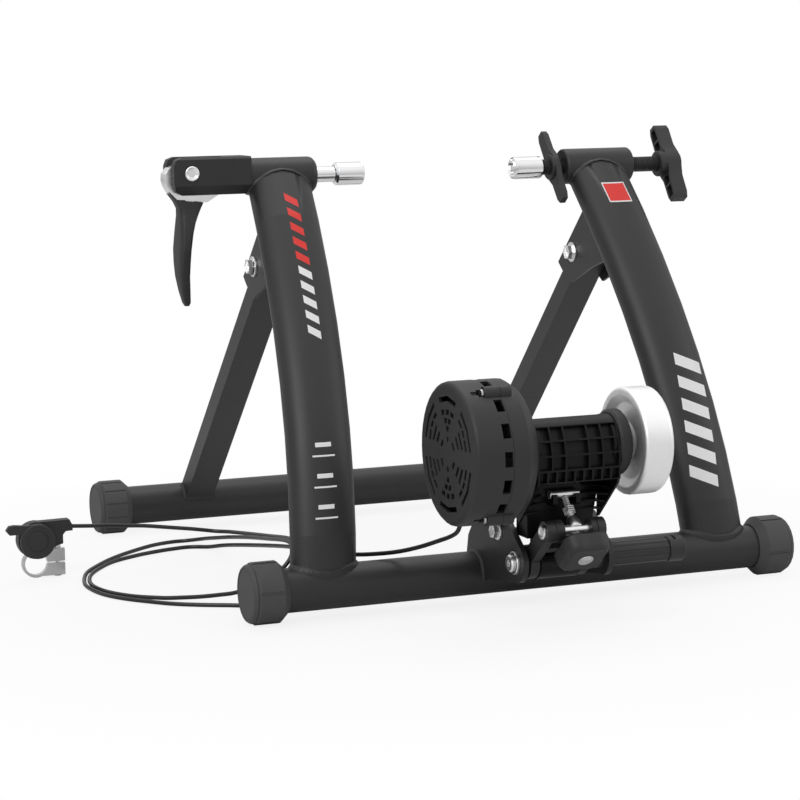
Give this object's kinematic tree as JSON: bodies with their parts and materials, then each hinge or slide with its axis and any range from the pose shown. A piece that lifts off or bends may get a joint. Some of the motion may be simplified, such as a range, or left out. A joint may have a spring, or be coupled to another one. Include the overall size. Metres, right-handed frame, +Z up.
{
  "type": "bike trainer",
  "caption": "Folding indoor bike trainer: tubular stand with axle clamps, a swinging magnetic roller unit with flywheel, and a cable shifter.",
  "frame": {"origin": "on the floor, under the middle of the part's box without the cable: between the four foot caps and the shifter", "axes": "+X along the foot tubes, from the lever clamp to the screw clamp; +Y from the roller side back towards the folding rear legs, the way the bike stands; +Z up"},
  "size_m": [0.7034, 0.6832, 0.4231],
  "materials": {
    "black_paint": "satin black powder coat",
    "black_plastic": "fine moulded grain",
    "cable_skin": "smooth black jacket",
    "foot_rubber": "dull grey black rubber",
    "roller_gel": "smooth dark resin",
    "chrome": "polished",
    "zinc": "zinc plated",
    "flywheel_steel": "turned steel, bright",
    "rotor_aluminium": "turned",
    "clamp_alloy": "satin silver"
  },
  "bodies": {
    "front_frame": {"front_tube": "black_paint", "front_foot_left": "foot_rubber", "front_foot_right": "foot_rubber", "upright_left": "black_paint", "upright_right": "black_paint", "head_tube_left": "black_paint", "head_tube_right": "black_paint", "bracket_plate_left": "black_paint", "bracket_plate_right": "black_paint", "hinge_bracket_left": "black_paint", "hinge_bracket_right": "black_paint", "fold_bolt_left": "zinc", "fold_bolt_right": "zinc", "cam_cover": "black_plastic", "cam_pin": "chrome", "return_spring": "zinc", "torsion_sleeve": "black_paint", "sleeve_collar": "black_plastic", "pivot_bolt": "zinc", "plate_bolt": "zinc", "tension_yoke": "black_paint", "trunnion_bush_left": "black_plastic", "trunnion_bush_right": "black_plastic", "shifter_body": "black_plastic", "shifter_clamp": "clamp_alloy", "clamp_bolt": "zinc", "control_cable": "cable_skin"},
    "rear_frame": {"rear_tube": "black_paint", "rear_foot_left": "foot_rubber", "rear_foot_right": "foot_rubber", "leg_left": "black_paint", "leg_right": "black_paint"},
    "cam_lever": {"cam_head": "chrome", "lever_grip": "black_plastic"},
    "left_cup": {"clamp_pin": "chrome", "axle_cup_left": "chrome"},
    "right_cup": {"axle_cup_right": "chrome"},
    "adjuster": {"adjuster_rod": "black_paint", "adjuster_handle": "black_plastic"},
    "lock": {"lock_handle": "black_plastic"},
    "resistance_unit": {"magnet_cover": "black_plastic", "back_shell": "black_plastic", "cover_screw_top": "zinc", "cover_screw_bottom": "zinc", "cover_screw_rear": "zinc", "roller_cradle": "black_plastic", "bearing_housing": "black_plastic", "bearing_left": "zinc", "bearing_right": "zinc"},
    "rotor": {"rotor_disc": "rotor_aluminium", "roller": "roller_gel", "roller_shaft": "zinc", "flywheel": "flywheel_steel", "flywheel_nut": "zinc"},
    "magnets": {"magnet_carrier": "black_plastic"},
    "swivel": {"trunnion": "chrome"},
    "screw_rod": {"t_bar": "chrome", "tension_rod": "chrome"},
    "screw_knob": {"tension_knob": "black_plastic"},
    "shift_lever": {"shifter_lever": "black_plastic"}
  },
  "joints": [
    {"name": "rear_fold", "type": "hinge", "parent": "front_frame", "child": "rear_frame", "pos_m": [0.07195, 0.04239, 0.29932], "axis": [1, 0, 0], "range_deg": [-70, 0]},
    {"name": "lever_turn", "type": "hinge", "parent": "front_frame", "child": "cam_lever", "pos_m": [-0.18375, 0.0317, 0.3907], "axis": [0, 1, 0], "range_deg": [0, 110]},
    {"name": "clamp_slide", "type": "slide", "parent": "front_frame", "child": "left_cup", "axis": [-1, 0, 0], "range_m": [0, 0.0075]},
    {"name": "adjuster_slide", "type": "slide", "parent": "front_frame", "child": "right_cup", "axis": [1, 0, 0], "range_m": [-0.03, 0.005]},
    {"name": "adjuster_screw", "type": "hinge", "parent": "right_cup", "child": "adjuster", "pos_m": [0.30955, 0.0317, 0.3855], "axis": [1, 0, 0], "range_deg": [-5403, 903]},
    {"name": "lock_turn", "type": "hinge", "parent": "right_cup", "child": "lock", "pos_m": [0.18945, 0.0317, 0.3855], "axis": [1, 0, 0], "continuous": true},
    {"name": "unit_swing", "type": "hinge", "parent": "front_frame", "child": "resistance_unit", "pos_m": [0.07195, -0.2541, 0.0535], "axis": [1, 0, 0], "range_deg": [-18, 0]},
    {"name": "rotor_spin", "type": "hinge", "parent": "resistance_unit", "child": "rotor", "pos_m": [0.07195, -0.2791, 0.159], "axis": [1, 0, 0], "continuous": true},
    {"name": "magnet_turn", "type": "hinge", "parent": "resistance_unit", "child": "magnets", "pos_m": [0.07195, -0.2791, 0.159], "axis": [1, 0, 0], "range_deg": [0, 30]},
    {"name": "swivel_turn", "type": "hinge", "parent": "front_frame", "child": "swivel", "pos_m": [0.07195, -0.2946, 0.087], "axis": [1, 0, 0], "range_deg": [-14.9, 0]},
    {"name": "rod_slide", "type": "slide", "parent": "swivel", "child": "screw_rod", "axis": [0, 0.6539, 0.7566], "range_m": [0, 0.0163]},
    {"name": "knob_turn", "type": "hinge", "parent": "swivel", "child": "screw_knob", "pos_m": [0.06095, -0.2946, 0.087], "axis": [0, 0.6539, 0.7566], "range_deg": [0, 3900]},
    {"name": "shift_turn", "type": "hinge", "parent": "front_frame", "child": "shift_lever", "pos_m": [-0.32105, 0.1069, 0.0395], "axis": [0, 1, 0], "range_deg": [0, 90]}
  ],
  "couplings": [
    {"joint": "clamp_slide", "follows": "lever_turn", "m_per_rad": 0.0039},
    {"joint": "adjuster_screw", "follows": "adjuster_slide", "rad_per_m": 3141.6},
    {"joint": "unit_swing", "follows": "knob_turn", "ratio": -0.004615},
    {"joint": "swivel_turn", "follows": "knob_turn", "ratio": -0.00381},
    {"joint": "rod_slide", "follows": "knob_turn", "m_per_rad": 0.00023888},
    {"joint": "magnet_turn", "follows": "shift_turn", "ratio": 0.3333}
  ]
}
